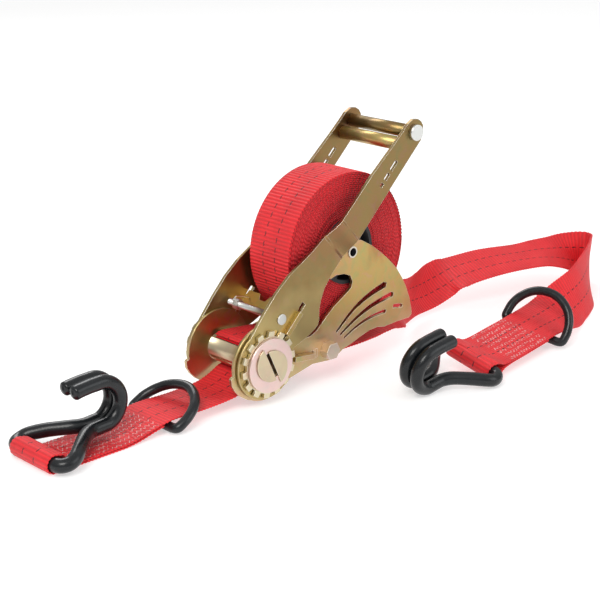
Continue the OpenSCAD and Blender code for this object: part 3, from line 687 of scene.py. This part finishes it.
# D-ring: its straight side along Y at the origin, its bow along X
def ringPath():
    h = 25 + 2.1 + 4.25
    a = np.radians(90 - 5 * np.arange(37))
    bow = np.stack([8 + h * np.cos(a), h * np.sin(a), 0 * a], axis=1)
    up = smooth([[0, h - 6, 0], [0.9, h - 2.2, 0], [3, h - 0.3, 0], [8, h, 0]], 6)
    return np.vstack([[[0, 0, 0]], up[:-1], bow, (up[:-1] * [1, -1, 1])[::-1], [[0, 0, 0]]])


def put(path, spin, at):
    return (path @ spin.T + np.asarray(at, float)) * 0.001 + hub


leadSpin = turn("z", 1.5)
wires = [
    {"name": "lead_hook_vinyl", "node": "lead_hook", "r": 0.006, "closed": False,
     "path": put(hookPath(), leadSpin, leadSpin @ leadBar)},
    {"name": "fixed_hook_vinyl", "node": "fixed_hook", "r": 0.006, "closed": False,
     "path": put(hookPath(), fixedTurn, fixedBar)},
    {"name": "lead_ring_vinyl", "node": "lead_ring", "r": 0.00425, "closed": True,
     "path": put(ringPath(), turn("z", -1.0) @ turn("y", -30), leadSpin @ np.array([-94.8, 1, -32.2]))},
    {"name": "fixed_ring_vinyl", "node": "fixed_ring", "r": 0.00425, "closed": True,
     "path": put(ringPath(), turn("z", 10) @ turn("x", 12.5) @ turn("y", -60), [286, -88.6, -24.2])},
]
for wire in wires:
    obj = wirePiece(wire["name"], wire["path"], wire["r"], wire["closed"])
    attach(obj, wire["node"])
    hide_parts(wire["node"])
print("hooks and rings")

# every CAD part: its imported custom normals removed and its split vertices welded
for name, obj in frame["nodes"].items():
    mesh = obj.data
    if "custom_normal" in mesh.attributes:
        mesh.attributes.remove(mesh.attributes["custom_normal"])
    weld = obj.modifiers.new("weld", "WELD")
    weld.merge_threshold = 0.00001

floorMaterial, floorTree, floorBsdf = startMaterial("floorPale")
floorBsdf.inputs["Base Color"].default_value = (0.6, 0.6, 0.6, 1)
floorBsdf.inputs["Roughness"].default_value = 0.7
floorBsdf.inputs["Emission Color"].default_value = (1, 1, 1, 1)
floorBsdf.inputs["Emission Strength"].default_value = 0.52
floorBsdf.inputs["Specular IOR Level"].default_value = 0.15
floorMesh = bpy.data.meshes.new("floor")
corners = [(x, y, -0.0002) for x, y in ((-30, -30), (30, -30), (30, 30), (-30, 30))]
floorMesh.from_pydata(corners, [], [(0, 1, 2, 3)])
floorMesh.materials.append(floorMaterial)
floor = bpy.data.objects.new("floor", floorMesh)
scene.collection.objects.link(floor)

world = bpy.data.worlds.new("studio")
scene.world = world
world.use_nodes = True
tree = world.node_tree
background = tree.nodes["Background"]
# sky: pale at the horizon, darker just above it, brightest overhead
upward = addNode(tree, "SeparateXYZ", {0: addNode(tree, "TexCoord").outputs["Generated"]}).outputs[2]
sky = ramp(tree, upward, [
    (0.0, (0.88, 0.88, 0.88)), (0.04, (0.55, 0.55, 0.55)),
    (0.35, (0.75, 0.75, 0.75)), (0.8, (1.0, 1.0, 1.0)),
])
tree.links.new(sky, background.inputs[0])
background.inputs[1].default_value = 0.75

lights = [
    {"name": "key", "at": (-1.5, -0.9, 1.7), "size": 1.1, "power": 30.0, "tint": (1.0, 0.98, 0.95)},
    {"name": "fill", "at": (0.9, -1.9, 1.0), "size": 1.4, "power": 11.0, "tint": (0.95, 0.98, 1.0)},
    {"name": "rim", "at": (0.6, 1.6, 1.5), "size": 1.0, "power": 15.0, "tint": (1.0, 1.0, 1.0)},
]
for light in lights:
    data = bpy.data.lights.new(light["name"], "AREA")
    data.size = light["size"]
    data.energy = light["power"]
    data.color = light["tint"]
    obj = bpy.data.objects.new(light["name"], data)
    obj.location = light["at"]
    aim = np.array([0.0, 0.0, 0.08]) - np.array(light["at"])
    obj.rotation_euler = (math.atan2(math.hypot(aim[0], aim[1]), -aim[2]), 0, math.atan2(-aim[0], aim[1]))
    scene.collection.objects.link(obj)

cameraData = bpy.data.cameras.new("camera")
cameraData.lens = 86.2
cameraData.clip_start = 0.01
cameraData.clip_end = 100
camera = bpy.data.objects.new("camera", cameraData)
camera.location = hub + np.array([-0.7431, -0.8772, 0.421])
camera.rotation_euler = (math.radians(72.01), 0, math.radians(-42.81))
scene.collection.objects.link(camera)
scene.camera = camera
scene.view_settings.view_transform = "Standard"
print("light and camera")
